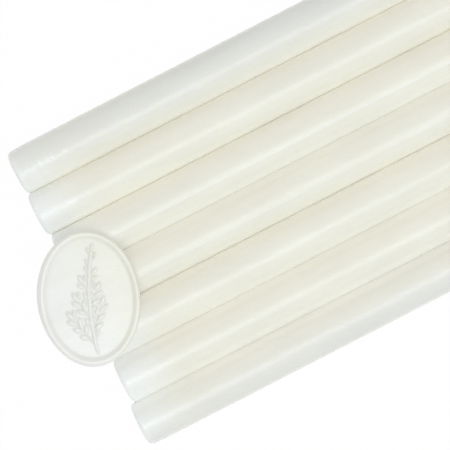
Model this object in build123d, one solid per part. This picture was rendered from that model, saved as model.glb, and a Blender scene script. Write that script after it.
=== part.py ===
from build123d import *
import math
import os

# A row of round sealing wax sticks, of the size that a melting gun takes, lying side by side,
# and one stamped oval seal of the same wax resting across the left ends of the middle sticks.
# Sizes are in millimetres and angles in degrees.
# Frame: +X runs along the sticks, from the end with the seal to the other, +Y crosses the row
# towards the first stick and +Z is up. The origin is at the bottom centre of the whole row's box.

# Wax sticks
STICK_DIAMETER = 11.0
STICK_LENGTH = 135.0
STICK_EDGE_RADIUS = 1.15
STICK_GAP = 0.2
# How far each stick's left end stands back from the line of the ends, first stick first
END_SETBACKS = (0.15, 0.0, 0.5, 0.0, 0.0, -0.1, -1.15)

# Oval seal: the rim's crest is the edge of the stamp, and a bead of wax swells out past it
STAMP_WIDTH = 22.5
STAMP_LENGTH = 30.3
CREST_WIDTH = 0.25
BEAD_WIDTH = 0.8
RIM_HEIGHT = 2.7
FIELD_HEIGHT = 1.95
RIM_WALL_RUN = 1.15
SEAL_FOOT_RADIUS = 0.3
# The stamp was pressed a little off the middle of the wax, towards the right of the oval
STAMP_SHIFT_RIGHT = 0.35
STAMP_SHIFT_UP = 0.13

# Where the seal lies on the sticks
SEAL_REST_CLEARANCE = 0.05
SEAL_INSET = 2.35
SEAL_ACROSS = -1.0
SEAL_TURN = -21.0

# Raised sprig on the seal's field, drawn upright, from the middle of the stamp
SPRIG_RELIEF = 0.35
SPRIG_ROOT_DEPTH = 0.3
STEM_FOOT_X = 0.6
STEM_TIP_X = 1.4
STEM_FOOT_MARGIN = 0.9
STEM_TIP_MARGIN = 3.2
STEM_BOW = 1.2
STEM_WIDTH = 1.1
SHOOT_COUNT = 7
SHOOT_FIRST_SHARE = 0.07
SHOOT_LAST_SHARE = 0.84
SHOOT_LONGEST = 8.8
SHOOT_SHORTEST = 1.2
SHOOT_SPREAD = 27.0
SHOOT_WIDTH = 0.8
LEAF_LENGTH = 3.0
LEAF_WIDTH = 1.5
LEAF_SPREAD = 32.0
LEAF_PITCH = 2.25
LEAF_SHRINK = 0.2
LEAF_OVERLAP = 0.9
LONE_LEAF_STEP = 1.6
CROWN_STEP = 0.8

# Worked out from the sizes above
STICK_RADIUS = STICK_DIAMETER / 2
STICK_PITCH = STICK_DIAMETER + STICK_GAP
STICK_COUNT = len(END_SETBACKS)
FIRST_STICK_Y = STICK_PITCH * (STICK_COUNT - 1) / 2
SEAL_WIDTH = STAMP_WIDTH + CREST_WIDTH + 2 * BEAD_WIDTH
SEAL_LENGTH = STAMP_LENGTH + CREST_WIDTH + 2 * BEAD_WIDTH
RECESS_WIDTH = STAMP_WIDTH - CREST_WIDTH
RECESS_LENGTH = STAMP_LENGTH - CREST_WIDTH
FIELD_WIDTH = RECESS_WIDTH - 2 * RIM_WALL_RUN
FIELD_LENGTH = RECESS_LENGTH - 2 * RIM_WALL_RUN
STEM_FOOT = Vector(STEM_FOOT_X, STEM_FOOT_MARGIN - FIELD_LENGTH / 2)
STEM_TIP = Vector(STEM_TIP_X, FIELD_LENGTH / 2 - STEM_TIP_MARGIN)


def end_line_x():
    """Place of the line of left ends that centres the sticks and the seal's overhang on the origin."""
    turn = math.radians(SEAL_TURN)
    seal_reach = math.hypot(SEAL_WIDTH / 2 * math.cos(turn), SEAL_LENGTH / 2 * math.sin(turn))
    left = min(min(END_SETBACKS), SEAL_INSET - seal_reach)
    right = max(max(END_SETBACKS) + STICK_LENGTH, SEAL_INSET + seal_reach)
    return -(left + right) / 2


def wax_stick(number):
    """One solid round stick with softened end edges, in its place in the row."""
    left_end = end_line_x() + END_SETBACKS[number]
    centre_y = FIRST_STICK_Y - STICK_PITCH * number
    stick = Rot(0, 90, 0) * Cylinder(STICK_RADIUS, STICK_LENGTH)
    stick = fillet(stick.edges().filter_by(GeomType.CIRCLE), STICK_EDGE_RADIUS)
    return Pos(left_end + STICK_LENGTH / 2, centre_y, STICK_RADIUS) * stick


def ahead(point, heading, distance):
    """The point that lies a distance from another, along a heading measured from +X."""
    turn = math.radians(heading)
    return point + Vector(math.cos(turn), math.sin(turn)) * distance


def stem_place(share):
    """Point and heading at a share of the stem, which is one gentle arc bowed to the left."""
    run = STEM_TIP - STEM_FOOT
    half_turn = 2 * math.degrees(math.atan(2 * STEM_BOW / run.length))
    radius = run.length / 2 / math.sin(math.radians(half_turn))
    start = math.degrees(math.atan2(run.Y, run.X)) + half_turn
    chord = 2 * radius * math.sin(math.radians(half_turn * share))
    return ahead(STEM_FOOT, start - half_turn * share, chord), start - 2 * half_turn * share


def stem_band():
    """The stem as a flat band of even width."""
    edges = []
    ends = []
    for side in (90, -90):
        points = []
        for share in (0, 0.5, 1):
            middle, heading = stem_place(share)
            points.append(ahead(middle, heading + side, STEM_WIDTH / 2))
        edges.append(ThreePointArc(*points))
        ends.append((points[0], points[2]))
    caps = [Line(ends[0][end], ends[1][end]) for end in (0, 1)]
    return make_face(edges + caps)


def shoot_band(root, heading, length):
    """A side shoot as a straight flat band that starts inside the stem."""
    middle = ahead(root, heading, length / 2)
    return Pos(middle.X, middle.Y) * Rot(0, 0, heading) * Rectangle(length, SHOOT_WIDTH)


def leaf(root, heading, size):
    """One oval leaf that starts at its root."""
    middle = ahead(root, heading, LEAF_LENGTH * size / 2)
    oval = Ellipse(LEAF_LENGTH * size / 2, LEAF_WIDTH * size / 2)
    return Pos(middle.X, middle.Y) * Rot(0, 0, heading) * oval


def sprig_outline():
    """The whole sprig: a bowed stem, side shoots left and right in turn, and their leaves."""
    stem_length = (STEM_TIP - STEM_FOOT).length
    shapes = [stem_band()]
    for number in range(SHOOT_COUNT):
        share = number / (SHOOT_COUNT - 1)
        side = 1 if number % 2 == 0 else -1
        place = SHOOT_FIRST_SHARE + (SHOOT_LAST_SHARE - SHOOT_FIRST_SHARE) * share
        length = SHOOT_LONGEST + (SHOOT_SHORTEST - SHOOT_LONGEST) * share
        size = 1 - LEAF_SHRINK * share
        root, heading = stem_place(place)
        out = heading + side * SHOOT_SPREAD
        shapes.append(shoot_band(root, out, length))
        shapes.append(leaf(ahead(root, out, length - LEAF_OVERLAP), out, size))
        for pair in range(int(length / LEAF_PITCH)):
            for turn in (1, -1):
                back = LEAF_PITCH * (pair + 0.75 + 0.25 * turn * side)
                shapes.append(leaf(ahead(root, out, length - back), out + turn * LEAF_SPREAD, size))
        lone_root, lone_heading = stem_place(place + LONE_LEAF_STEP / stem_length)
        shapes.append(leaf(lone_root, lone_heading - side * LEAF_SPREAD, size))
    for turn, back in ((0, 0), (1, CROWN_STEP), (-1, 2 * CROWN_STEP)):
        root, heading = stem_place(1 - back / stem_length)
        shapes.append(leaf(root, heading + turn * LEAF_SPREAD, 1 - LEAF_SHRINK))
    return Sketch() + shapes


def stamped_seal():
    """The oval seal: a bead of wax, a crested rim, a sunk field and the raised sprig."""
    seal = extrude(Ellipse(SEAL_WIDTH / 2, SEAL_LENGTH / 2), RIM_HEIGHT)
    seal = fillet(seal.edges().group_by(Axis.Z)[-1], min(BEAD_WIDTH, RIM_HEIGHT * 0.45))
    seal = fillet(seal.edges().group_by(Axis.Z)[0], min(SEAL_FOOT_RADIUS, RIM_HEIGHT * 0.45))
    stamp = Pos(STAMP_SHIFT_RIGHT, STAMP_SHIFT_UP)
    floor_oval = Pos(0, 0, FIELD_HEIGHT) * Ellipse(FIELD_WIDTH / 2, FIELD_LENGTH / 2)
    crest_oval = Pos(0, 0, RIM_HEIGHT) * Ellipse(RECESS_WIDTH / 2, RECESS_LENGTH / 2)
    seal -= stamp * loft([floor_oval, crest_oval])
    sprig = extrude(sprig_outline(), SPRIG_RELIEF + SPRIG_ROOT_DEPTH)
    seal += stamp * Pos(0, 0, FIELD_HEIGHT - SPRIG_ROOT_DEPTH) * sprig
    rest = Pos(end_line_x() + SEAL_INSET, SEAL_ACROSS, STICK_DIAMETER + SEAL_REST_CLEARANCE)
    return rest * Rot(0, 0, SEAL_TURN) * seal


os.makedirs("parts", exist_ok=True)
for stick_number in range(STICK_COUNT):
    export_step(wax_stick(stick_number), f"parts/wax_stick_{stick_number + 1}.step")
export_step(stamped_seal(), "parts/stamped_seal.step")
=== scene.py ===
import cmath
import math

import bpy
import numpy as np
from bpy.props import FloatProperty, FloatVectorProperty, IntProperty, PointerProperty
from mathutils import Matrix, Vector


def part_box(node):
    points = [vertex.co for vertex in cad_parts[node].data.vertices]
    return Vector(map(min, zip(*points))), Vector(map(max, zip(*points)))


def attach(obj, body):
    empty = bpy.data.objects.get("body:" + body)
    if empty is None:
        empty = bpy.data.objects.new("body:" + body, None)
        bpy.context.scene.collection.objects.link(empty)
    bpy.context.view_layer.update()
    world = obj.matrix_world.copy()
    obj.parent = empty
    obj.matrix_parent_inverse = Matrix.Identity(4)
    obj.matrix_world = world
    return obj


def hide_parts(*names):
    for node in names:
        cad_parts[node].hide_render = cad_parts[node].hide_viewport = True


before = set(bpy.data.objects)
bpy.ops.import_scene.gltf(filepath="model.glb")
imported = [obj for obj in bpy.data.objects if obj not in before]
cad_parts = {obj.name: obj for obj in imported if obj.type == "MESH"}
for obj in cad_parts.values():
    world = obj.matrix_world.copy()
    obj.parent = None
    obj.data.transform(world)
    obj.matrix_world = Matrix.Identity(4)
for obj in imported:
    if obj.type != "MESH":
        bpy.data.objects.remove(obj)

bl_info = {
    "name": "Sealing Wax Set",
    "version": (1, 0, 0),
    "blender": (4, 5, 0),
    "location": "View3D > Sidebar > Wax Set",
    "description": "Dresses a row of sealing wax sticks and a stamped oval seal around their CAD frame",
    "category": "Object",
}

MM = 0.001
SEAL_NODE = "stamped_seal"
STICK_NODES = sorted(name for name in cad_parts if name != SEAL_NODE)
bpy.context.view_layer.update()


# Settings

def length_property(name, description, millimetres):
    """A length setting whose default is written in millimetres."""
    return FloatProperty(name=name, description=description, default=millimetres * MM,
                         unit="LENGTH", subtype="DISTANCE", precision=5)


def share_property(name, description, default):
    """A setting from 0 to 1."""
    return FloatProperty(name=name, description=description, default=default,
                         min=0.0, max=1.0, subtype="FACTOR")


def angle_property(name, description, degrees):
    """An angle setting whose default is written in degrees."""
    return FloatProperty(name=name, description=description, default=math.radians(degrees),
                         subtype="ANGLE", unit="ROTATION")


def colour_property(name, description, default):
    """A colour setting in linear red, green and blue."""
    return FloatVectorProperty(name=name, description=description, default=default,
                               size=3, min=0.0, max=1.0, subtype="COLOR")


class WaxStickSettings(bpy.types.PropertyGroup):
    """Shape of the sticks beyond what the CAD frame gives."""

    edge_radius: length_property("Edge radius", "Rounding of the end edges", 1.15)
    crown_drop: length_property("Crown drop", "How far the side falls away towards an end", 0.2)
    crown_reach: length_property("Crown reach", "Length of side over which it falls away", 2.6)
    ripple: length_property("Ripple", "Height of the slow unevenness of the side", 0.016)
    shiver: length_property("Shiver", "Height of the quick unevenness of the side", 0.006)
    scuff: length_property("Scuff height", "Height of the short marks near the ends", 0.022)
    mould_line: length_property("Mould line", "Height of the line that the mould leaves along a stick", 0.03)
    dent: length_property("Dent depth", "Depth of the small dents in the side", 0.02)
    dimple: length_property("End dimple", "Depth of the shrink hollow in each end face", 0.12)
    # Painted cool light at the ends of the sticks
    cool_light_reach: length_property("Cool reach", "Length of an end over which the wax looks cooler", 17.0)
    # Painted shade on the open sides is lighter over this length of the left end
    open_shade_reach: length_property("Pale reach", "Length of the left end where the open sides look paler", 30.0)
    segments: IntProperty(name="Segments", description="Points round a stick", default=108, min=24)


class WaxSealSettings(bpy.types.PropertyGroup):
    """Shape of the stamped seal."""

    stamp_width: length_property("Stamp width", "Width of the oval of the rim's crest", 22.5)
    stamp_length: length_property("Stamp length", "Length of the oval of the rim's crest", 30.3)
    crest_width: length_property("Crest width", "Width of the top of the rim", 0.25)
    bead_width: length_property("Bead width", "Wax that swells out past the crest", 0.8)
    bead_shoulder: length_property("Bead shoulder", "Height where the bead is widest", 1.75)
    rim_height: length_property("Rim height", "Height of the crest", 2.7)
    field_height: length_property("Field height", "Height of the sunk field", 1.95)
    wall_run: length_property("Wall run", "Width of the slope from crest to field", 1.15)
    foot_radius: length_property("Foot radius", "Rounding of the lower edge", 1.2)
    shift_right: length_property("Shift right", "How far right of the middle the stamp fell", 0.35)
    shift_up: length_property("Shift up", "How far above the middle the stamp fell", 0.13)
    turn: angle_property("Turn", "How the seal is turned on the sticks", -21.0)
    wobble: length_property("Wobble", "Unevenness of the bead's outline", 0.08)
    sway: length_property("Sway", "Slow unevenness of the field", 0.012)
    dome: length_property("Dome", "Rise of the field towards its middle", 0.15)
    scratch: length_property("Scratch height", "Height of the fine strokes on the field", 0.012)
    pit: length_property("Pit depth", "Depth of the small pits in the field", 0.05)
    nick: length_property("Nick depth", "Depth of the small nicks in the crest", 0.16)
    cells: IntProperty(name="Cells", description="Grid cells across the field", default=200, min=40)


class WaxSprigSettings(bpy.types.PropertyGroup):
    """Raised sprig on the seal's field."""

    relief: length_property("Relief", "Height of the sprig above the field", 0.35)
    slope: length_property("Slope", "Width of the sloped edge of a leaf", 0.42)
    # Width of the painted shade along a leaf's edge
    line: length_property("Outline", "Width of the deeper tone along a leaf's edge", 0.29)
    foot_x: length_property("Foot x", "Place of the stem's foot across the stamp", 0.6)
    tip_x: length_property("Tip x", "Place of the stem's tip across the stamp", 1.4)
    foot_margin: length_property("Foot margin", "Gap from the foot to the field's edge", 0.9)
    tip_margin: length_property("Tip margin", "Gap from the tip to the field's edge", 3.2)
    bow: length_property("Bow", "How far the stem bows to the left", 1.2)
    stem_width: length_property("Stem width", "Width of the stem", 1.1)
    shoots: IntProperty(name="Shoots", description="Side shoots, left and right in turn", default=7, min=2)
    first_share: share_property("First shoot", "Share of the stem below the first shoot", 0.07)
    last_share: share_property("Last shoot", "Share of the stem below the last shoot", 0.84)
    longest: length_property("Longest shoot", "Length of the lowest shoot", 8.8)
    shortest: length_property("Shortest shoot", "Length of the highest shoot", 1.2)
    spread: angle_property("Shoot spread", "Angle between shoot and stem", 27.0)
    shoot_width: length_property("Shoot width", "Width of a shoot", 0.8)
    leaf_length: length_property("Leaf length", "Length of a low leaf", 3.0)
    leaf_width: length_property("Leaf width", "Width of a low leaf", 1.5)
    leaf_spread: angle_property("Leaf spread", "Angle between leaf and shoot", 32.0)
    leaf_pitch: length_property("Leaf pitch", "Step between pairs of leaves", 2.25)
    leaf_shrink: share_property("Leaf shrink", "How much smaller the top leaves are", 0.2)
    leaf_overlap: length_property("Leaf overlap", "How far an end leaf covers its shoot", 0.9)
    lone_step: length_property("Lone leaf step", "Step from a shoot to the leaf opposite it", 1.6)
    crown_step: length_property("Crown step", "Step between the leaves at the tip", 0.8)


class WaxFinishSettings(bpy.types.PropertyGroup):
    """Colours of the wax with its painted light and shade, and its sheen."""

    top_tone: colour_property("Top tone", "Tone of the tops of the sticks", (0.938, 0.896, 0.762))
    # Painted light: warm bounced light on the sides towards +Y, paler light on those towards -Y, and the
    # palest bounced light on the sides near a seam
    upper_light_tone: colour_property("Upper tone", "Warmer tone of the sides towards +Y", (0.982, 0.924, 0.782))
    lower_light_tone: colour_property("Lower tone", "Paler tone of the sides towards -Y", (0.945, 0.915, 0.785))
    seam_light_tone: colour_property("Seam tone", "Palest tone, of the sides near a seam", (0.998, 0.965, 0.868))
    # Painted cool light at the ends
    end_light_tone: colour_property("End tone", "Cooler tone of the wax at the ends", (0.98, 0.975, 0.91))
    # Painted shade on the open sides of the first and last stick
    open_shade_tone: colour_property("Open tone", "Greyer tone of the row's open sides", (0.845, 0.83, 0.762))
    # Painted light on the end edges and painted glints on the scuffs, the mould line and the seal's strokes
    painted_light_tone: colour_property("Scuff tone", "Tone of the fresh wax in a scuff", (1.0, 1.0, 0.94))
    # Painted light: the seal is warmer over the sticks from their bounced light, and cooler clear of them
    seal_warm_light: colour_property("Warm seal", "Tone of the seal over the sticks", (0.996, 0.963, 0.828))
    seal_cool_light: colour_property("Cool seal", "Tone of the seal clear of them", (0.997, 0.971, 0.9))
    cloud: share_property("Clouds", "How dark the faint clouds in the wax are", 0.04)
    # Painted shade on the rim's flanks and at the field's edge, and a painted highlight on the crest
    flank_shade: share_property("Flanks", "How much deeper the flanks of the seal's rim look", 0.06)
    # Painted shade along the edges of the leaves
    outline: share_property("Sprig outline", "How much deeper the edges of the leaves look", 0.07)
    dulled: share_property("Dulled sprig", "How much deeper the tops of the leaves look", 0.04)
    # Painted glints on the fine strokes
    scratched: share_property("Strokes", "How much paler the fine strokes on the seal look", 0.5)
    # Painted shade in the pits
    pitted: share_property("Pits", "How much deeper the pits in the seal look", 0.09)
    stick_glow: share_property("Stick glow", "Share of the light that wanders in a stick", 0.15)
    seal_glow: share_property("Seal glow", "Share of the light that wanders in the thin seal", 0.15)
    speck: colour_property("Speck", "Colour of the specks of dust in the wax", (0.42, 0.38, 0.28))
    stick_depth: length_property("Stick translucency", "How deep light wanders in a stick", 0.6)
    seal_depth: length_property("Seal translucency", "How deep light wanders in the seal", 0.5)
    pearl: length_property("Pearl grain", "Height of the fine pearly grain", 0.014)
    sparkle: length_property("Sparkle", "Height of the grain in the glossy skin", 0.16)


class WaxStageSettings(bpy.types.PropertyGroup):
    """Light, floor and camera."""

    camera_height: FloatProperty(name="Camera height", description="Height of the camera above the sticks",
                                 default=0.39, unit="LENGTH")
    camera_turn: angle_property("Camera turn", "Turn of the view about the vertical", -27.24)
    camera_lens: FloatProperty(name="Lens", description="Focal length in millimetres", default=130.2)
    view_inset: length_property("View inset", "How far in from the stick ends the view is centred", 38.83)
    view_across: length_property("View across", "How far to the side of the middle the view is centred", -0.2)
    key_power: FloatProperty(name="Key light", description="Power of the soft light overhead",
                             default=1.2, unit="POWER")
    window_power: FloatProperty(name="Window light", description="Power of the cool light from the left",
                                default=0.34, unit="POWER")
    zenith: FloatProperty(name="Zenith", description="Strength of the light from overhead", default=0.717)
    horizon: FloatProperty(name="Horizon", description="Strength of the light from the sides", default=0.54)
    floor: colour_property("Floor", "Colour of the floor in bounced light", (0.85, 0.85, 0.85))
    bounces: IntProperty(name="Bounces", description="How often light may bounce between sticks", default=12)


# Meshes

def smooth_step(low, high, value):
    """A soft rise from 0 to 1 as the value goes from low to high."""
    t = np.clip((value - low) / (high - low), 0.0, 1.0)
    return t * t * (3.0 - 2.0 * t)


def wrapped(turn):
    """Turns brought to between minus and plus half a turn."""
    return np.angle(np.exp(1j * turn))


def waves(rng, around, along, count, turns, shortest, longest):
    """A sum of seeded waves over a tube: whole waves round it, and slow ones along it."""
    total = np.zeros(np.broadcast(around, along).shape)
    for _ in range(count):
        turn = rng.integers(0, turns + 1)
        wave = 2 * math.pi / rng.uniform(shortest, longest)
        total += np.cos(turn * around + rng.choice((-1, 1)) * wave * along + rng.uniform(0, 2 * math.pi))
    return total / math.sqrt(count)


def new_piece(name, points, faces, material):
    """A smooth mesh object in the scene."""
    mesh = bpy.data.meshes.new(name)
    mesh.from_pydata(points.tolist(), [], faces)
    mesh.shade_smooth()
    mesh.materials.append(material)
    piece = bpy.data.objects.new(name, mesh)
    bpy.context.scene.collection.objects.link(piece)
    return piece


def between(first, second, share):
    """Colours at shares of the way from one colour, or list of colours, to another."""
    return np.asarray(first) + (np.asarray(second) - np.asarray(first)) * share[..., None]


def keep_tones(piece, tones):
    """Keeps a tone, the wax's colour with painted light and shade, at each point of a piece, for its material
    to read.
    """
    opaque = np.column_stack((tones, np.ones(len(tones)))).astype(np.float32)
    layer = piece.data.color_attributes.new("tone", "FLOAT_COLOR", "POINT")
    layer.data.foreach_set("color", opaque.ravel())


def stand_for(piece, node):
    """Lets a piece take a CAD node's place and ride on its body."""
    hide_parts(node)
    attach(piece, node)


# Sticks

STICK_SEED = 700
FACE_RINGS = 7
FILLET_STEPS = 9
FINE_REACH = 16 * MM
FINE_STEP = 0.16 * MM
COARSE_STEP = 0.5 * MM
# Waves in the sides: how many, how many times round a stick at most, and the shortest and longest along it
RIPPLE_WAVES = (46, 9, 9 * MM, 60 * MM)
SHIVER_WAVES = (60, 16, 2.2 * MM, 7 * MM)
# Least and greatest strength of a mark of any kind
MARK_STRENGTH = (0.3, 1.0)
# Dents: how many on a stick, and their least and greatest half width in millimetres
DENT_COUNT = 26
DENT_WIDTH = (0.3, 0.8)
# Half width of the mould line, the rows of points across it in half widths, and where it runs on each
# stick, in degrees from the top towards -Y
LINE_WIDTH = 0.11 * MM
LINE_ROWS = (-2.2, -1.1, 0.0, 1.1, 2.2)
LINE_TURNS = (140.0, 215.0, 17.0, 19.0, 150.0, 205.0, 160.0)
# Scuffs at the left end: how many on each stick, how far from the end they gather and how far they stray
# from there, in millimetres, the mean and scatter of their turn in degrees and of their slant, and their
# least and greatest half width in millimetres and reach round the stick in degrees
LEFT_SCUFFS = (46, 42, 4, 4, 4, 9, 8)
SCUFF_PLACES = (2.4, 4.6, 6.2, 7.2, 8.4, 9.6, 13.0)
SCUFF_STRAY = 0.6
SCUFF_TURN = (10, 3.5)
SCUFF_SLANT = (0.25, 0.25)
SCUFF_WIDTH = (0.09, 0.14)
SCUFF_REACH = (2.5, 6.5)
# Height above the sticks' middle, in millimetres, of the flats where two sticks touch, first seam first
FLAT_REACHES = (1.5, 1.4, 2.4, 1.45, 2.4, 2.7)
# Depth of the flats below the middle, and the space that is left between two of them
FLAT_DEPTH = 0.5 * MM
SEAM_WIDTH = 0.002 * MM
# Turn between a flat's upper edge and the row of points on each side that keeps it crisp
FLAT_EDGE = 0.006
# Sines of the turn at which a side starts to swell towards its flat, above and below the middle
SHOULDER_ABOVE = 0.7
SHOULDER_BELOW = 0.95
# How far each seam lies from the middle of the gap, towards -Y, in millimetres
SEAM_SHIFTS = (0.22, 0.05, 0.0, -0.12, -0.06, 0.0)
# Painted shade in the crease beside each seam, on its +Y side and on the other, how far that reaches, and
# the cosine of the turn from the top above which it is in full
CREASE_SHADES = ((0.015, 0.015), (0.03, 0.02), (0.03, 0.0), (0.05, 0.025), (0.025, 0.005), (0.04, 0.0))
CREASE_REACH = 0.36 * MM
CREASE_FULL = 0.1
# How far the tone of the first and last stick goes over to the painted shade of the open sides, on the inner
# and the open side, and the sines of the turn between which it changes, by the seam that the open side would
# have
OPEN_SIDE_SHADES = {-1: (0.2, 0.95, -1.1, 0.5), len(FLAT_REACHES): (0.25, 0.85, -0.3, 0.6)}
# How much lighter the painted shade on the open sides is at their outermost and at the left end, and how much
# darker it is far from that end, in full at so many open shade reaches
OUTERMOST_LOSS = 0.8
LEFT_END_LOSS = 0.35
FAR_GAIN = 0.2
FAR_REACHES = 3.5
# Painted light: how far the rounded end edges are lightened, and how strong the painted glint on the mould
# line is
EDGE_LIGHT = 0.8
LINE_GLINT = 0.5
# Sines of the turn between which the tone goes over to the painted light of a side and of a seam, the painted
# shade of the open sides reaches its outermost, and the unevenness and the narrowing at the ends fade out
SIDE_BAND = (0.15, 0.7)
SEAM_BAND = (0.78, 0.96)
OUTERMOST_BAND = (0.75, 1.0)
UNEVEN_BAND = (0.6, 0.85)
CROWN_BAND = (0.6, 0.9)
# Powers by which the marks and the bulge of the side fade towards the middle of an end face
MARK_FADE = 4
BULGE_FADE = 6


def stick_outline(length, radius, edge):
    """Half of a stick's lengthwise section: places along it and radii, from end to end."""
    face = [(0.0, (radius - edge) * k / FACE_RINGS) for k in range(1, FACE_RINGS)]
    fillet = []
    for k in range(FILLET_STEPS):
        angle = math.pi / 2 * k / FILLET_STEPS
        fillet.append((edge * (1 - math.cos(angle)), radius - edge + edge * math.sin(angle)))
    fine = [(x, radius) for x in np.arange(edge, FINE_REACH, FINE_STEP)]
    start = face + fillet + fine
    middle = [(x, radius) for x in np.arange(FINE_REACH, length - FINE_REACH, COARSE_STEP)]
    end = [(length - x, r) for x, r in reversed(start)]
    return np.array(start + middle + end)


def stick_sides(number):
    """The two sides of a stick, -1 towards +Y and 1 towards -Y, each with the number of its seam."""
    return (-1, number - 1), (1, number)


def stick_turns(number, segments, radius):
    """Turns of the points round a stick, from its top towards -Y, closer at its mould line and flats."""
    even = np.linspace(-math.pi, math.pi, segments, endpoint=False)
    near_line = math.radians(LINE_TURNS[number]) + np.array(LINE_ROWS) * LINE_WIDTH / radius
    near_flats = []
    for side, seam in stick_sides(number):
        if seam not in OPEN_SIDE_SHADES:
            edge = side * math.acos(FLAT_REACHES[seam] * MM / radius)
            near_flats += [edge - FLAT_EDGE, edge + FLAT_EDGE]
    return np.sort(wrapped(np.concatenate((even, near_line, near_flats))))


def scuff_marks(rng, count, around, along, radius):
    """Short raised strokes across a stick near its left end, some of them slanted."""
    total = np.zeros(np.broadcast(around, along).shape)
    for _ in range(count):
        place = rng.choice(SCUFF_PLACES) * MM + rng.normal(0, SCUFF_STRAY) * MM
        turn = math.radians(rng.normal(*SCUFF_TURN))
        slant = rng.normal(*SCUFF_SLANT)
        width = rng.uniform(*SCUFF_WIDTH) * MM
        reach = math.radians(rng.uniform(*SCUFF_REACH))
        off = along - place - slant * (around - turn) * radius
        total += rng.uniform(*MARK_STRENGTH) * np.exp(-(off / width) ** 2 - ((around - turn) / reach) ** 2)
    return total


def dents(rng, count, around, along, length, radius):
    """Small round hollows scattered over a stick."""
    total = np.zeros(np.broadcast(around, along).shape)
    for _ in range(count):
        place = rng.uniform(0, length)
        turn = rng.uniform(-math.pi, math.pi)
        width = rng.uniform(*DENT_WIDTH) * MM
        off = wrapped(around - turn) * radius
        total += rng.uniform(*MARK_STRENGTH) * np.exp(-((along - place) ** 2 + off ** 2) / width ** 2)
    return total


def side_marks(rng, number, shape, around, along, length, radius):
    """Height of a stick's unevenness and marks, and where a painted glint lies on its scuffs and mould line.
    """
    height = shape.ripple * waves(rng, around, along, *RIPPLE_WAVES)
    height += shape.shiver * waves(rng, around, along, *SHIVER_WAVES)
    height *= 1 - smooth_step(*UNEVEN_BAND, np.abs(np.sin(around)))
    scuffs = scuff_marks(rng, LEFT_SCUFFS[number], around, along, radius)
    height += shape.scuff * scuffs
    off_line = wrapped(around - math.radians(LINE_TURNS[number])) * radius
    line = np.exp(-(off_line / LINE_WIDTH) ** 2)
    height += shape.mould_line * line
    height -= shape.dent * dents(rng, DENT_COUNT, around, along, length, radius)
    return height, np.clip(scuffs + LINE_GLINT * line, 0, 1)


def seam_swell(number):
    """How far a stick and the next one swell towards the seam between them."""
    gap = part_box(STICK_NODES[number])[0].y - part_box(STICK_NODES[number + 1])[1].y
    return (gap - SEAM_WIDTH) / 2


def flat_bulge(sine, radius, swell, flat_reach, shoulder_start):
    """What a round side lacks to lie flat against its neighbour, where the sine of the turn is near 1."""
    flat_sine = math.sqrt(1 - (flat_reach / radius) ** 2)
    shoulder = (radius * (1 - flat_sine) + swell) * smooth_step(shoulder_start, flat_sine, sine)
    return np.where(sine > flat_sine, radius * (1 - sine) + swell, shoulder)


def touching_sides(number, around, radius):
    """How far a stick bulges towards +Y, how much shade is painted in its creases, and how free its ends are
    to narrow.
    """
    bulge = np.zeros(around.shape)
    crease_shade = np.zeros(around.shape)
    freedom = np.ones(around.shape)
    for side, seam in stick_sides(number):
        if seam not in OPEN_SIDE_SHADES:
            outward = side * np.sin(around)
            swell = seam_swell(seam) + side * SEAM_SHIFTS[seam] * MM
            above = flat_bulge(outward, radius, swell, FLAT_REACHES[seam] * MM, SHOULDER_ABOVE)
            below = flat_bulge(outward, radius, swell, FLAT_DEPTH, SHOULDER_BELOW)
            bulge -= side * np.where(np.cos(around) > 0, above, below)
            beside = radius + swell - radius * outward - above
            depth = CREASE_SHADES[seam][0 if side > 0 else 1] * smooth_step(0.0, CREASE_FULL, np.cos(around))
            crease_shade += depth * np.exp(-(beside / CREASE_REACH) ** 2) * (outward > 0)
            freedom *= 1 - smooth_step(*CROWN_BAND, outward)
    return bulge, crease_shade, freedom


def open_shade_share(number, shape, around, along):
    """How far the tone of a stick goes over to the painted shade of the row's open sides."""
    share = np.zeros(np.broadcast(around, along).shape)
    for side, seam in stick_sides(number):
        if seam in OPEN_SIDE_SHADES:
            inner, outer, start, full = OPEN_SIDE_SHADES[seam]
            outward = side * np.sin(around)
            share += inner + (outer - inner) * smooth_step(start, full, outward)
            share *= 1 - OUTERMOST_LOSS * smooth_step(*OUTERMOST_BAND, outward)
            share *= 1 - LEFT_END_LOSS * (1 - smooth_step(0.0, shape.open_shade_reach, along))
            share *= 1 + FAR_GAIN * smooth_step(shape.open_shade_reach, FAR_REACHES * shape.open_shade_reach, along)
    return share


def stick_faces(rings, segments):
    """Quads between a stick's rings of points, and triangles from its end rings to the last two points."""
    faces = []
    for ring in range(rings - 1):
        low, high = ring * segments, (ring + 1) * segments
        for k in range(segments):
            after = (k + 1) % segments
            faces.append((low + k, low + after, high + after, high + k))
    left, right, last = rings * segments, rings * segments + 1, (rings - 1) * segments
    for k in range(segments):
        after = (k + 1) % segments
        faces.append((left, after, k))
        faces.append((right, last + k, last + after))
    return faces


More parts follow.
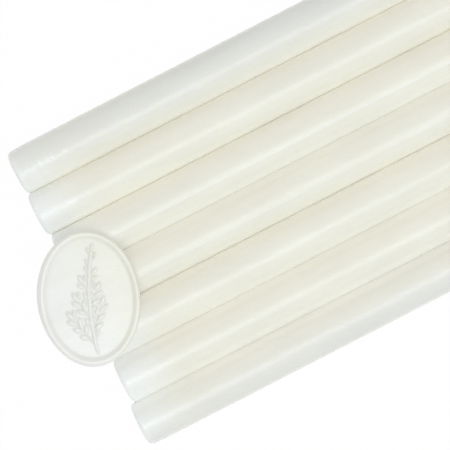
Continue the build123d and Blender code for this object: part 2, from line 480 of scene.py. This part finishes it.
def stick_mesh(number, low, high, shape, finish):
    """Points, faces and tones of one stick, from its CAD box."""
    rng = np.random.default_rng(STICK_SEED + number)
    length = high.x - low.x
    radius = (high.z - low.z) / 2
    middle_y, middle_z = (low.y + high.y) / 2, low.z + radius
    outline = stick_outline(length, radius, shape.edge_radius)
    along, ring_radius = outline[:, :1], outline[:, 1:]
    around = stick_turns(number, shape.segments, radius)[None, :]
    from_end = np.minimum(along, length - along)
    rim_share = ring_radius / radius
    height, glinting = side_marks(rng, number, shape, around, along, length, radius)
    bulge, crease_shade, freedom = touching_sides(number, around, radius)
    crown = shape.crown_drop * np.exp(-(from_end / shape.crown_reach) ** 2) * freedom
    reach = ring_radius + (height - crown) * rim_share ** MARK_FADE
    hollow = shape.dimple * (1 - rim_share ** 2) * (rim_share < 1 - shape.edge_radius / radius)
    inward = np.where(along < length / 2, hollow, -hollow)
    points = np.stack((
        np.broadcast_to(low.x + along + inward, reach.shape),
        middle_y - reach * np.sin(around) + bulge * rim_share ** BULGE_FADE,
        middle_z + reach * np.cos(around),
    ), axis=-1)

    # Painted light and shade over the wax's own tone: bounced light on the sides and near the seams, cool
    # light at the ends, shade in the creases and on the open sides, and light on the end edges, scuffs and
    # mould line
    sine = np.sin(around)
    tones = between(finish.top_tone, finish.upper_light_tone, smooth_step(*SIDE_BAND, -sine))
    tones = between(tones, finish.lower_light_tone, smooth_step(*SIDE_BAND, sine))
    tones = between(tones, finish.seam_light_tone, smooth_step(*SEAM_BAND, np.abs(sine)))
    tones = between(tones, finish.end_light_tone, 1 - smooth_step(0.0, shape.cool_light_reach, from_end))
    tones = tones * (1 - crease_shade[..., None])
    tones = between(tones, finish.open_shade_tone, open_shade_share(number, shape, around, along))
    edge_light = EDGE_LIGHT * (1 - smooth_step(0.0, 2 * shape.edge_radius, from_end))
    tones = between(tones, finish.painted_light_tone, edge_light)
    tones = between(tones, finish.painted_light_tone, glinting)

    faces = stick_faces(*points.shape[:2])
    centres = [(low.x + shape.dimple, middle_y, middle_z), (high.x - shape.dimple, middle_y, middle_z)]
    points = np.vstack((points.reshape(-1, 3), centres))
    return points, faces, np.vstack((tones.reshape(-1, 3), [finish.end_light_tone] * 2))


# Seal

SEAL_SEED = 41
STEM_POINTS = 160
# Groove round a leaf that lies on another: its reach in slopes, and its depth as a share
GROOVE_REACH = 0.7
GROOVE_DEPTH = 0.8
# Where the painted shade along a leaf's edge starts, is in full, starts to fade and ends, in outline widths
LINE_BAND = (-0.3, 0.2, 1.0, 2.0)
# Slow waves of the field: how many, and the shortest and longest in millimetres
SWAY_WAVES = 18
SWAY_LENGTH = (3.5, 12)
# Fine strokes on the field: how many, their least and greatest turn in degrees round the oval from its right
# and share of the way to its edge, the mean and scatter of their heading in radians, and their least and
# greatest half length and half width in millimetres
SCRATCH_COUNT = 26
SCRATCH_TURN = (205, 320)
SCRATCH_OUT = (0.72, 0.93)
SCRATCH_HEADING = (-0.35, 0.3)
SCRATCH_REACH = (0.5, 1.6)
SCRATCH_WIDTH = (0.09, 0.15)
# Pits in the field: how many, the mean and scatter of their turn, and their least and greatest share of the
# way to its edge and half width, in the same measures
PIT_COUNT = 16
PIT_TURN = (65, 35)
PIT_OUT = (0.66, 0.92)
PIT_WIDTH = (0.12, 0.22)
# Shares of the way in from the field's edge over which its relief rises and its shade fades, and that shade
RELIEF_REACH = 0.12
SHADE_REACH = 0.05
EDGE_SHADE = 0.5
# Shares of the field's half width between which the seal goes over to its tone with painted warm light
WARM_LIGHT_BAND = (-0.6, 1.0)
# Rings of points on the rim's inner wall, its crest, the bead, the side below it, the foot and the underside
WALL_RINGS = 14
CREST_RINGS = 5
BEAD_RINGS = 12
SIDE_RINGS = 3
FOOT_RINGS = 5
UNDERSIDE_RINGS = 6
# How much lighter the crest's painted highlight is than the field, as a share of the painted shade on the
# flanks
CREST_LIGHT = 0.8
# How far the crest is rounded up, how uneven its height is, and how far that and its nicks reach to each side
CREST_RISE = 0.03 * MM
CREST_LIFT = 0.02 * MM
CREST_REACH = 0.35 * MM
# Shares of the wall's run where its shade sets in and gives way to the crest, shares of the bead's width
# where it sets in again, and how deep it is on the side below
WALL_SHADE_START = (-0.3, 0.2)
WALL_SHADE_END = (0.8, 1.0)
BEAD_SHADE_START = (0.0, 0.25)
SIDE_SHADE = 0.3
# Where the bead is narrower, in degrees round the oval from its right, over how many degrees and by how much
BEAD_DIP = (222.0, 34.0, 0.36 * MM)
# Most waves round the oval in the outline and in the crest's height, the powers by which shorter waves are
# weaker, the scale of the outline's, and how much of them shows where the stamp shaped the rim
OUTLINE_WAVES = 14
WOBBLE_DECAY = 0.7
LIFT_DECAY = 0.5
WOBBLE_SCALE = 0.35
STAMPED_WOBBLE = 0.15
# Straight and S-shaped shares of the wall's section, and slanted and round shares of the bead's
WALL_SHARES = (0.45, 0.55)
BEAD_SHARES = (0.55, 0.45)
# Where small nicks break the crest, in degrees round the oval from its right, their half width, and the
# distance from the oval's middle at which it is measured
NICK_TURNS = (148.0, 33.0, 277.0, 236.0)
NICK_WIDTH = 0.22 * MM
NICK_ARM = 13 * MM


def stem_place(sprig, foot, tip, share):
    """Point and heading at a share of the stem, which is one gentle arc bowed to the left."""
    run = tip - foot
    half_turn = 2 * math.atan(2 * sprig.bow / abs(run))
    radius = abs(run) / 2 / math.sin(half_turn)
    start = cmath.phase(run) + half_turn
    chord = 2 * radius * math.sin(half_turn * share)
    return foot + cmath.rect(chord, start - half_turn * share), start - 2 * half_turn * share


def sprig_layout(sprig, field_length):
    """Points of the stem, shoots as root, heading and length, and leaves as root, heading and size."""
    foot = complex(sprig.foot_x, sprig.foot_margin - field_length / 2)
    tip = complex(sprig.tip_x, field_length / 2 - sprig.tip_margin)
    stem_length = abs(tip - foot)
    shoots = []
    leaves = []
    for number in range(sprig.shoots):
        share = number / (sprig.shoots - 1)
        side = 1 if number % 2 == 0 else -1
        place = sprig.first_share + (sprig.last_share - sprig.first_share) * share
        length = sprig.longest + (sprig.shortest - sprig.longest) * share
        size = 1 - sprig.leaf_shrink * share
        root, heading = stem_place(sprig, foot, tip, place)
        out = heading + side * sprig.spread
        shoots.append((root, out, length))
        lone_root, lone_heading = stem_place(sprig, foot, tip, place + sprig.lone_step / stem_length)
        leaves.append((lone_root, lone_heading - side * sprig.leaf_spread, size))
        for pair in reversed(range(int(length / sprig.leaf_pitch))):
            for turn in (1, -1):
                back = sprig.leaf_pitch * (pair + 0.75 + 0.25 * turn * side)
                leaves.append((root + cmath.rect(length - back, out), out + turn * sprig.leaf_spread, size))
        leaves.append((root + cmath.rect(length - sprig.leaf_overlap, out), out, size))
    for turn, back in ((1, sprig.crown_step), (-1, 2 * sprig.crown_step), (0, 0.0)):
        root, heading = stem_place(sprig, foot, tip, 1 - back / stem_length)
        leaves.append((root, heading + turn * sprig.leaf_spread, 1 - sprig.leaf_shrink))
    stem = [stem_place(sprig, foot, tip, share)[0] for share in np.linspace(0, 1, STEM_POINTS)]
    return stem, shoots, leaves


def sprig_depths(sprig, field_length, places):
    """How far inside each shoot, each leaf and the stem the places lie, which are complex numbers."""
    stem, shoots, leaves = sprig_layout(sprig, field_length)
    depths = []
    for root, heading, length in shoots:
        local = (places - root) * cmath.exp(-1j * heading)
        past = np.maximum(np.maximum(-local.real, local.real - length), 0)
        depths.append(sprig.shoot_width / 2 - np.hypot(past, local.imag))
    for root, heading, size in leaves:
        half_length, half_width = sprig.leaf_length * size / 2, sprig.leaf_width * size / 2
        local = (places - root) * cmath.exp(-1j * heading) - half_length
        depths.append((1 - np.hypot(local.real / half_length, local.imag / half_width)) * half_width)
    stem_gap = np.full(places.shape, np.inf)
    for point in stem:
        stem_gap = np.minimum(stem_gap, np.abs(places - point))
    depths.append(sprig.stem_width / 2 - stem_gap)
    return depths


def sprig_relief(sprig, depths):
    """Height of the sprig above the field and painted shade along its outlines, both from 0 to 1."""
    start, full, fade, end = (share * sprig.line for share in LINE_BAND)
    height = np.zeros(depths[0].shape)
    outline = np.zeros(depths[0].shape)
    for depth in depths:
        rise = smooth_step(0.0, sprig.slope, depth)
        groove = smooth_step(-GROOVE_REACH * sprig.slope, 0.0, depth) * (depth < 0)
        edge = smooth_step(start, full, depth) * (1 - smooth_step(fade, end, depth))
        height = np.maximum(height * (1 - GROOVE_DEPTH * groove), rise)
        outline = np.maximum(outline * (1 - rise), edge)
    return height, outline


def field_scratches(rng, count, places, half_field):
    """Fine strokes on the field near its lower edge."""
    total = np.zeros(places.shape)
    for _ in range(count):
        turn = math.radians(rng.uniform(*SCRATCH_TURN))
        out = rng.uniform(*SCRATCH_OUT)
        middle = out * complex(half_field[0] * math.cos(turn), half_field[1] * math.sin(turn))
        local = (places - middle) * cmath.exp(-1j * rng.normal(*SCRATCH_HEADING))
        reach = rng.uniform(*SCRATCH_REACH) * MM
        width = rng.uniform(*SCRATCH_WIDTH) * MM
        stroke = np.exp(-(local.real / reach) ** 4 - (local.imag / width) ** 2)
        total += rng.uniform(*MARK_STRENGTH) * stroke
    return np.clip(total, 0, 1)


def field_pits(rng, count, places, half_field):
    """Small round hollows left by bubbles, most of them near the field's upper edge."""
    total = np.zeros(places.shape)
    for _ in range(count):
        turn = math.radians(rng.normal(*PIT_TURN))
        out = rng.uniform(*PIT_OUT)
        middle = out * complex(half_field[0] * math.cos(turn), half_field[1] * math.sin(turn))
        width = rng.uniform(*PIT_WIDTH) * MM
        total += rng.uniform(*MARK_STRENGTH) * np.exp(-(np.abs(places - middle) / width) ** 2)
    return np.clip(total, 0, 1)


def field_sway(rng, count, places):
    """Slow waves over the field, in all directions."""
    total = np.zeros(places.shape)
    for _ in range(count):
        direction = cmath.exp(1j * rng.uniform(0, 2 * math.pi))
        wave = 2 * math.pi / (rng.uniform(*SWAY_LENGTH) * MM)
        total += np.cos((places * direction).real * wave + rng.uniform(0, 2 * math.pi)) / math.sqrt(count)
    return total


def field_surface(rng, seal, sprig, half_field, disc_x, disc_y):
    """Points of the field, and its marks: raised, painted shade along the leaf edges, scratched, pitted, and
    painted shade at the field's edge.
    """
    places = disc_x * half_field[0] + 1j * disc_y * half_field[1]
    raised, edge_shaded = sprig_relief(sprig, sprig_depths(sprig, 2 * half_field[1], places))
    inward = np.clip(1 - np.hypot(disc_x, disc_y), 0, 1)
    sway = field_sway(rng, SWAY_WAVES, places)
    scratched = field_scratches(rng, SCRATCH_COUNT, places, half_field)
    pitted = field_pits(rng, PIT_COUNT, places, half_field)
    relief = seal.sway * sway + sprig.relief * raised + seal.scratch * scratched - seal.pit * pitted
    height = seal.field_height + seal.dome * (1 - (1 - inward) ** 2)
    height += relief * smooth_step(0.0, RELIEF_REACH, inward)
    shaded = EDGE_SHADE * (1 - smooth_step(0.0, SHADE_REACH, inward))
    points = np.stack((places.real + seal.shift_right, places.imag + seal.shift_up, height), axis=-1)
    marks = np.stack((raised, edge_shaded, scratched, pitted, shaded), axis=-1)
    return points.reshape(-1, 3), marks.reshape(-1, 5)


def steps(start, end, count):
    """Even steps from one value to another, without the first."""
    return np.linspace(start, end, count + 1)[1:]


def rim_outline(seal):
    """Offset from the field's edge, height, share in the stamp's shift and painted shade of each ring, below
    0 for the crest's painted highlight.
    """
    rise = seal.rim_height - seal.field_height
    drop = seal.rim_height - seal.bead_shoulder
    crest_start = seal.wall_run
    crest_end = crest_start + seal.crest_width
    widest = crest_end + seal.bead_width
    rows = []
    for t in steps(0, 1, WALL_RINGS):
        fading = (1 + CREST_LIGHT) * smooth_step(*WALL_SHADE_END, t)
        shade = smooth_step(*WALL_SHADE_START, t) * (1 - fading)
        level = seal.field_height + rise * (WALL_SHARES[0] * t + WALL_SHARES[1] * smooth_step(0.0, 1.0, t))
        rows.append((crest_start * t, level, 1.0, shade))
    for t in steps(0, 1, CREST_RINGS):
        level = seal.rim_height + CREST_RISE * math.sin(math.pi * t)
        rows.append((crest_start + seal.crest_width * t, level, 1.0, -CREST_LIGHT))
    for t in steps(0, math.pi / 2, BEAD_RINGS):
        out = math.sin(t)
        level = seal.rim_height - drop * (BEAD_SHARES[0] * out + BEAD_SHARES[1] * (1 - math.cos(t)))
        shade = (1 + CREST_LIGHT) * smooth_step(*BEAD_SHADE_START, out) - CREST_LIGHT
        rows.append((crest_end + seal.bead_width * out, level, 1 - out, shade))
    for level in steps(seal.bead_shoulder, seal.foot_radius, SIDE_RINGS):
        rows.append((widest, level, 0.0, SIDE_SHADE))
    for t in steps(0, math.pi / 2, FOOT_RINGS):
        offset = widest - seal.foot_radius * (1 - math.cos(t))
        rows.append((offset, seal.foot_radius * (1 - math.sin(t)), 0.0, 0.0))
    return rows


def rim_rings(rng, seal, half_field, edge_x, edge_y):
    """Rings of points from the field's edge over the rim and under the seal, and the rim's shades."""
    turn = np.arctan2(edge_y, edge_x)
    wobble = np.zeros(turn.shape)
    lift = np.zeros(turn.shape)
    for k in range(2, OUTLINE_WAVES + 1):
        wobble += rng.normal() / k ** WOBBLE_DECAY * np.cos(k * turn + rng.uniform(0, 2 * math.pi))
        lift += rng.normal() / k ** LIFT_DECAY * np.cos(k * turn + rng.uniform(0, 2 * math.pi))
    dip_turn, dip_reach, dip_depth = BEAD_DIP
    dip = dip_depth * np.exp(-(wrapped(turn - math.radians(dip_turn)) / math.radians(dip_reach)) ** 2)
    nicks = np.zeros(turn.shape)
    for nick in NICK_TURNS:
        nicks += np.exp(-(wrapped(turn - math.radians(nick)) * NICK_ARM / NICK_WIDTH) ** 2)
    crest = seal.wall_run + seal.crest_width / 2
    rings = []
    shades = []
    for offset, level, follow, shade in rim_outline(seal):
        near_crest = math.exp(-((offset - crest) / CREST_REACH) ** 2) * (level > seal.bead_shoulder)
        outer = 1 - follow
        freedom = (STAMPED_WOBBLE + (1 - STAMPED_WOBBLE) * outer) * min(offset / crest, 1)
        reach = offset + WOBBLE_SCALE * seal.wobble * freedom * wobble - dip * outer
        rings.append(np.stack((
            (half_field[0] + reach) * edge_x + seal.shift_right * follow,
            (half_field[1] + reach) * edge_y + seal.shift_up * follow,
            level + (CREST_LIFT * lift - seal.nick * nicks) * near_crest,
        ), axis=-1))
        shades.append(np.full(turn.shape, shade))
    last = rings[-1]
    for k in range(1, UNDERSIDE_RINGS):
        inner = 1 - k / UNDERSIDE_RINGS
        rings.append(last * np.array((inner, inner, 0.0)))
    return rings, np.concatenate(shades)


def seal_faces(index, loop, ring_count):
    """Quads of the field's grid and between the rings round it, and triangles to the last point."""
    faces = []
    cells = len(index) - 1
    for row in range(cells):
        for column in range(cells):
            faces.append((int(index[row, column]), int(index[row, column + 1]),
                          int(index[row + 1, column + 1]), int(index[row + 1, column])))
    count = len(loop)
    before = loop.tolist()
    for ring in range(ring_count):
        start = index.size + ring * count
        after = list(range(start, start + count))
        for k in range(count):
            j = (k + 1) % count
            faces.append((before[k], after[k], after[j], before[j]))
        before = after
    centre = index.size + ring_count * count
    for k in range(count):
        faces.append((before[k], centre, before[(k + 1) % count]))
    return faces


def seal_mesh(low, high, seal, sprig):
    """Points, faces, share of painted warm light and marks of the seal, from its CAD box."""
    rng = np.random.default_rng(SEAL_SEED)
    half_field = np.array((seal.stamp_width, seal.stamp_length)) / 2 - seal.crest_width / 2 - seal.wall_run
    grid = np.linspace(-1, 1, seal.cells + 1)
    u, v = np.meshgrid(grid, grid)
    disc_x, disc_y = u * np.sqrt(1 - v * v / 2), v * np.sqrt(1 - u * u / 2)
    field, field_marks = field_surface(rng, seal, sprig, half_field, disc_x, disc_y)
    index = np.arange(grid.size ** 2).reshape(grid.size, grid.size)
    loop = np.concatenate((index[0, :-1], index[:-1, -1], index[-1, :0:-1], index[:0:-1, 0]))
    rings, shades = rim_rings(rng, seal, half_field, disc_x.ravel()[loop], disc_y.ravel()[loop])

    points = np.vstack([field] + rings + [np.zeros((1, 3))])
    faces = seal_faces(index, loop, len(rings))
    middle = np.array(((low.x + high.x) / 2, (low.y + high.y) / 2))
    cosine, sine = math.cos(seal.turn), math.sin(seal.turn)
    points[:, :2] = points[:, :2] @ np.array(((cosine, sine), (-sine, cosine))) + middle
    points[:, 2] += low.z
    # Painted warm light from the sticks, none on the seal's sides and underside
    warm_light_share = smooth_step(*WARM_LIGHT_BAND, (points[:, 0] - middle[0]) / half_field[0])
    warm_light_share[points[:, 2] < low.z + seal.bead_shoulder] = 0
    marks = np.zeros((len(points), 5))
    marks[:len(field)] = field_marks
    marks[len(field):len(field) + len(shades), 4] = shades
    return points, faces, warm_light_share, marks


# Materials

WAX_IOR = 1.45
COAT_ROUGHNESS = 0.23
# Least and greatest roughness of the wax and weight of its glossy skin
WAX_ROUGHNESS = (0.29, 0.44)
COAT_WEIGHT = (0.55, 0.9)
# How far red, green and blue light wander in the wax, as shares of its depth
WANDER = (1.0, 0.9, 0.7)
# Repeats per metre of the patterns in the wax, and the values of each between which it takes effect
CLOUD_SCALE = 190.0
CLOUD_BAND = (0.35, 0.65)
SPECK_SCALE = 85.0
SPECK_BAND = (0.006, 0.026)
SHEEN_SCALE = 900.0
SHEEN_BAND = (0.3, 0.7)
SPARKLE_SCALE = 1300.0
SPARKLE_BAND = (0.36, 0.62)
GRAIN_SCALE = 1500.0
# How strong a speck is, and the scale along X, Y and Z of the clouds and the sheen, which X draws out
SPECK_STRENGTH = 0.25
DRAWN_OUT = (0.25, 1.0, 1.0)
# How much of the grain shows on the sticks, and on the seal, which the stamp pressed smooth
STICK_GRAIN = 1.0
SEAL_GRAIN = 0.15
# How far from the sticks the floor shows their shadow, how open to the sky it is at full shadow and at none,
# and how white it then looks
SHADOW_REACH = 12 * MM
SHADOW_OPENNESS = (0.06, 0.4)
FLOOR_WHITENESS = 0.98


def node_of(tree, kind, **values):
    """A new shader node with some of its settings and unlinked inputs given."""
    node = tree.nodes.new(kind)
    for name, value in values.items():
        if name in node.inputs:
            node.inputs[name].default_value = value
        else:
            setattr(node, name, value)
    return node


def mixed(tree, share, first, second):
    """A colour between two others; each may be a colour or a socket."""
    # Inputs 6 and 7 and output 2 are the node's colours
    node = tree.nodes.new("ShaderNodeMix")
    node.data_type = "RGBA"
    tree.links.new(share, node.inputs[0])
    for slot, value in ((6, first), (7, second)):
        if isinstance(value, bpy.types.NodeSocket):
            tree.links.new(value, node.inputs[slot])
        else:
            node.inputs[slot].default_value = (*value, 1.0)
    return node.outputs[2]


def ranged(tree, value, low, high, to_low, to_high):
    """A value carried from one range to another."""
    limits = {"From Min": low, "From Max": high, "To Min": to_low, "To Max": to_high}
    node = node_of(tree, "ShaderNodeMapRange", **limits)
    tree.links.new(value, node.inputs["Value"])
    return node.outputs["Result"]


def noise(tree, place, scale, detail=3.0, rough=0.55):
    """A noise pattern at a scale per metre."""
    node = node_of(tree, "ShaderNodeTexNoise", Scale=scale, Detail=detail, Roughness=rough)
    tree.links.new(place, node.inputs["Vector"])
    return node.outputs["Fac"]


def wax_material(name, finish, glow, depth, grain_share):
    """Pearly, slightly translucent wax: mottled tone, specks, fine grain and an uneven sheen."""
    material = bpy.data.materials.new(name)
    material.use_nodes = True
    tree = material.node_tree
    shader = tree.nodes["Principled BSDF"]
    place = tree.nodes.new("ShaderNodeTexCoord").outputs["Object"]
    stretch = node_of(tree, "ShaderNodeMapping", Scale=DRAWN_OUT)
    tree.links.new(place, stretch.inputs["Vector"])
    drawn = stretch.outputs["Vector"]

    tone = node_of(tree, "ShaderNodeVertexColor", layer_name="tone").outputs["Color"]
    clouds = ranged(tree, noise(tree, drawn, CLOUD_SCALE), *CLOUD_BAND, 0.0, finish.cloud)
    clouded = mixed(tree, clouds, tone, (0.0, 0.0, 0.0))
    cells = node_of(tree, "ShaderNodeTexVoronoi", Scale=SPECK_SCALE)
    tree.links.new(place, cells.inputs["Vector"])
    specks = ranged(tree, cells.outputs["Distance"], *SPECK_BAND, SPECK_STRENGTH, 0.0)
    tree.links.new(mixed(tree, specks, clouded, finish.speck), shader.inputs["Base Color"])

    sheen = noise(tree, drawn, SHEEN_SCALE, detail=4.0)
    tree.links.new(ranged(tree, sheen, *SHEEN_BAND, *WAX_ROUGHNESS), shader.inputs["Roughness"])
    grain = node_of(tree, "ShaderNodeBump", Strength=grain_share, Distance=finish.pearl)
    tree.links.new(noise(tree, place, GRAIN_SCALE, rough=0.6), grain.inputs["Height"])
    tree.links.new(grain.outputs["Normal"], shader.inputs["Normal"])

    shader.inputs["IOR"].default_value = WAX_IOR
    shader.inputs["Subsurface Weight"].default_value = glow
    shader.inputs["Subsurface Scale"].default_value = depth
    shader.inputs["Subsurface Radius"].default_value = WANDER
    sparkle = noise(tree, place, SPARKLE_SCALE, detail=2.0)
    tree.links.new(ranged(tree, sparkle, *SPARKLE_BAND, *COAT_WEIGHT), shader.inputs["Coat Weight"])
    shine = node_of(tree, "ShaderNodeBump", Strength=grain_share, Distance=finish.sparkle)
    tree.links.new(sparkle, shine.inputs["Height"])
    tree.links.new(shine.outputs["Normal"], shader.inputs["Coat Normal"])
    shader.inputs["Coat Roughness"].default_value = COAT_ROUGHNESS
    return material


def seen_ray(tree):
    """1 for what the camera sees straight, in a reflection or through clear wax, and 0 for bounced light."""
    path = tree.nodes.new("ShaderNodeLightPath")
    share = path.outputs["Is Camera Ray"]
    for kind in ("Is Glossy Ray", "Is Transmission Ray"):
        either = node_of(tree, "ShaderNodeMath", operation="MAXIMUM")
        tree.links.new(share, either.inputs[0])
        tree.links.new(path.outputs[kind], either.inputs[1])
        share = either.outputs[0]
    return share


def floor_material(colour):
    """A pale floor that the camera sees as nearly white, with the object's shadow on it."""
    material = bpy.data.materials.new("pale_floor")
    material.use_nodes = True
    tree = material.node_tree
    tree.nodes.clear()
    lit = node_of(tree, "ShaderNodeBsdfDiffuse", Color=(*colour, 1.0))
    white = node_of(tree, "ShaderNodeEmission", Strength=1.0)
    open_sky = node_of(tree, "ShaderNodeAmbientOcclusion", Distance=SHADOW_REACH)
    clear = ranged(tree, open_sky.outputs["AO"], *SHADOW_OPENNESS, 0.0, FLOOR_WHITENESS)
    whitened = node_of(tree, "ShaderNodeMath", operation="MULTIPLY")
    tree.links.new(seen_ray(tree), whitened.inputs[0])
    tree.links.new(clear, whitened.inputs[1])
    blend = tree.nodes.new("ShaderNodeMixShader")
    tree.links.new(whitened.outputs[0], blend.inputs[0])
    tree.links.new(lit.outputs[0], blend.inputs[1])
    tree.links.new(white.outputs[0], blend.inputs[2])
    out = tree.nodes.new("ShaderNodeOutputMaterial")
    tree.links.new(blend.outputs[0], out.inputs["Surface"])
    return material


# Stage

# Half the floor's width, the camera's sensor width in millimetres, and how near a thing may be to be seen
FLOOR_HALF = 2.0
SENSOR_WIDTH = 36.0
CAMERA_NEAR = 0.01
# Light overhead: its size, colour, distance, place along the sticks and lean towards -Y
KEY_SIZE = (0.75, 0.13)
KEY_COLOUR = (0.77, 0.89, 1.0)
KEY_DISTANCE = 0.7
KEY_ALONG = 0.22
KEY_TILT = math.radians(17.5)
# Light from the left: its size, colour and place
WINDOW_SIZE = (0.1, 0.2)
WINDOW_COLOUR = (0.86, 0.93, 1.0)
WINDOW_PLACE = (-0.21, -0.17, 0.55)
# Light from all round: its colour, where it is strongest, and the cosine of the turn from there up to which
# it stays so
SKY_COLOUR = (0.97, 0.985, 1.0, 1.0)
SKY_LEAN = (0.2, 0.02, 0.98)
SKY_FULL = 0.7


def soft_light(name, power, size, place, target, colour):
    """A rectangular soft light that faces a point."""
    data = bpy.data.lights.new(name, "AREA")
    data.shape = "RECTANGLE"
    data.energy = power
    data.size, data.size_y = size
    data.color = colour
    light = bpy.data.objects.new(name, data)
    bpy.context.scene.collection.objects.link(light)
    light.location = place
    light.rotation_euler = (Vector(target) - Vector(place)).to_track_quat("-Z", "Y").to_euler()
    light.visible_camera = False


def sky_light(zenith, horizon):
    """Light from all round, strongest overhead and a little towards +X, which the camera sees as white."""
    world = bpy.data.worlds.new("studio_sky")
    bpy.context.scene.world = world
    world.use_nodes = True
    tree = world.node_tree
    tree.nodes.clear()
    ambient = node_of(tree, "ShaderNodeBackground", Color=SKY_COLOUR)
    direction = tree.nodes.new("ShaderNodeTexCoord").outputs["Generated"]
    lean = node_of(tree, "ShaderNodeVectorMath", operation="DOT_PRODUCT")
    tree.links.new(direction, lean.inputs[0])
    lean.inputs[1].default_value = SKY_LEAN
    strength = ranged(tree, lean.outputs["Value"], 0.0, SKY_FULL, horizon, zenith)
    tree.links.new(strength, ambient.inputs["Strength"])
    white = node_of(tree, "ShaderNodeBackground", Color=(1.0, 1.0, 1.0, 1.0), Strength=1.0)
    blend = tree.nodes.new("ShaderNodeMixShader")
    tree.links.new(seen_ray(tree), blend.inputs[0])
    tree.links.new(ambient.outputs[0], blend.inputs[1])
    tree.links.new(white.outputs[0], blend.inputs[2])
    out = tree.nodes.new("ShaderNodeOutputWorld")
    tree.links.new(blend.outputs[0], out.inputs["Surface"])


# Operators

class WAXSET_OT_sticks(bpy.types.Operator):
    """Makes the wax sticks of the row"""

    bl_idname = "wax_set.sticks"
    bl_label = "Wax Sticks"

    def execute(self, context):
        scene = context.scene
        finish = scene.wax_finish
        wax = wax_material("stick_wax", finish, finish.stick_glow, finish.stick_depth, STICK_GRAIN)
        for number, node in enumerate(STICK_NODES):
            points, faces, tones = stick_mesh(number, *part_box(node), scene.wax_sticks, finish)
            piece = new_piece(f"{node}_dressed", points, faces, wax)
            keep_tones(piece, tones)
            stand_for(piece, node)
        return {"FINISHED"}


class WAXSET_OT_seal(bpy.types.Operator):
    """Makes the stamped oval seal"""

    bl_idname = "wax_set.seal"
    bl_label = "Stamped Seal"

    def execute(self, context):
        scene = context.scene
        finish = scene.wax_finish
        wax = wax_material("seal_wax", finish, finish.seal_glow, finish.seal_depth, SEAL_GRAIN)
        points, faces, warm_light_share, marks = seal_mesh(*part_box(SEAL_NODE), scene.wax_seal, scene.wax_sprig)
        piece = new_piece(f"{SEAL_NODE}_dressed", points, faces, wax)
        raised, edge_shaded, scratched, pitted, shaded = marks.T
        # Painted shade along the leaf edges, in the pits, on the rim's flanks and at the field's edge, a
        # painted highlight on the crest, and darker tops of the leaves
        depth = finish.dulled * raised + finish.outline * edge_shaded
        depth += finish.pitted * pitted + finish.flank_shade * shaded
        # Painted light: warmer over the sticks, cooler clear of them
        tones = between(finish.seal_cool_light, finish.seal_warm_light, warm_light_share) * (1 - depth[:, None])
        tones /= np.maximum(tones.max(axis=1, keepdims=True), 1)
        # Painted glints on the fine strokes
        keep_tones(piece, between(tones, finish.painted_light_tone, finish.scratched * scratched))
        # Bounced light passes the seal, as it does through thin wax, so its shadow on the sticks stays faint
        piece.visible_diffuse = False
        stand_for(piece, SEAL_NODE)
        return {"FINISHED"}


class WAXSET_OT_stage(bpy.types.Operator):
    """Makes the floor, the light and the camera"""

    bl_idname = "wax_set.stage"
    bl_label = "Stage"

    def execute(self, context):
        scene = context.scene
        stage = scene.wax_stage
        low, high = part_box(STICK_NODES[len(STICK_NODES) // 2])
        middle_z = (low.z + high.z) / 2
        corners = FLOOR_HALF * np.array(((-1, -1, 0), (1, -1, 0), (1, 1, 0), (-1, 1, 0)))
        floor = new_piece("floor", corners, [(0, 1, 2, 3)], floor_material(stage.floor))

        centre = Vector((low.x + stage.view_inset, (low.y + high.y) / 2 + stage.view_across, middle_z))
        camera_data = bpy.data.cameras.new("photo_camera")
        camera_data.sensor_width = SENSOR_WIDTH
        camera_data.lens = stage.camera_lens
        camera_data.clip_start = CAMERA_NEAR
        camera = bpy.data.objects.new("photo_camera", camera_data)
        scene.collection.objects.link(camera)
        camera.location = centre + Vector((0, 0, stage.camera_height))
        camera.rotation_euler = (0, 0, stage.camera_turn)
        scene.camera = camera

        key_place = (KEY_ALONG, -KEY_DISTANCE * math.sin(KEY_TILT), KEY_DISTANCE * math.cos(KEY_TILT))
        soft_light("key_light", stage.key_power, KEY_SIZE, key_place, (KEY_ALONG, 0.0, middle_z), KEY_COLOUR)
        soft_light("window_light", stage.window_power, WINDOW_SIZE, WINDOW_PLACE,
                   (low.x, 0.0, middle_z), WINDOW_COLOUR)
        sky_light(stage.zenith, stage.horizon)
        scene.cycles.diffuse_bounces = stage.bounces
        scene.view_settings.view_transform = "Standard"
        return {"FINISHED"}


class WAXSET_PT_sidebar(bpy.types.Panel):
    """Lists the pieces of the set and their settings"""

    bl_label = "Sealing Wax Set"
    bl_space_type = "VIEW_3D"
    bl_region_type = "UI"
    bl_category = "Wax Set"

    def draw(self, context):
        for operator, settings in PANEL_ROWS:
            box = self.layout.box()
            box.operator(operator)
            for group in settings:
                values = getattr(context.scene, group)
                for name in values.__annotations__:
                    box.prop(values, name)


PANEL_ROWS = (
    (WAXSET_OT_sticks.bl_idname, ("wax_sticks", "wax_finish")),
    (WAXSET_OT_seal.bl_idname, ("wax_seal", "wax_sprig")),
    (WAXSET_OT_stage.bl_idname, ("wax_stage",)),
)
SETTINGS = {
    "wax_sticks": WaxStickSettings,
    "wax_seal": WaxSealSettings,
    "wax_sprig": WaxSprigSettings,
    "wax_finish": WaxFinishSettings,
    "wax_stage": WaxStageSettings,
}
CLASSES = (*SETTINGS.values(), WAXSET_OT_sticks, WAXSET_OT_seal, WAXSET_OT_stage, WAXSET_PT_sidebar)


def register():
    """Makes the set's classes and settings known to Blender."""
    for cls in CLASSES:
        bpy.utils.register_class(cls)
    for name, group in SETTINGS.items():
        setattr(bpy.types.Scene, name, PointerProperty(type=group))


def unregister():
    """Takes the set's settings and classes out of Blender again."""
    for name in SETTINGS:
        delattr(bpy.types.Scene, name)
    for cls in reversed(CLASSES):
        bpy.utils.unregister_class(cls)


def main():
    """Makes the whole set in order."""
    register()
    bpy.ops.wax_set.sticks()
    bpy.ops.wax_set.seal()
    bpy.ops.wax_set.stage()


if __name__ == "__main__":
    main()
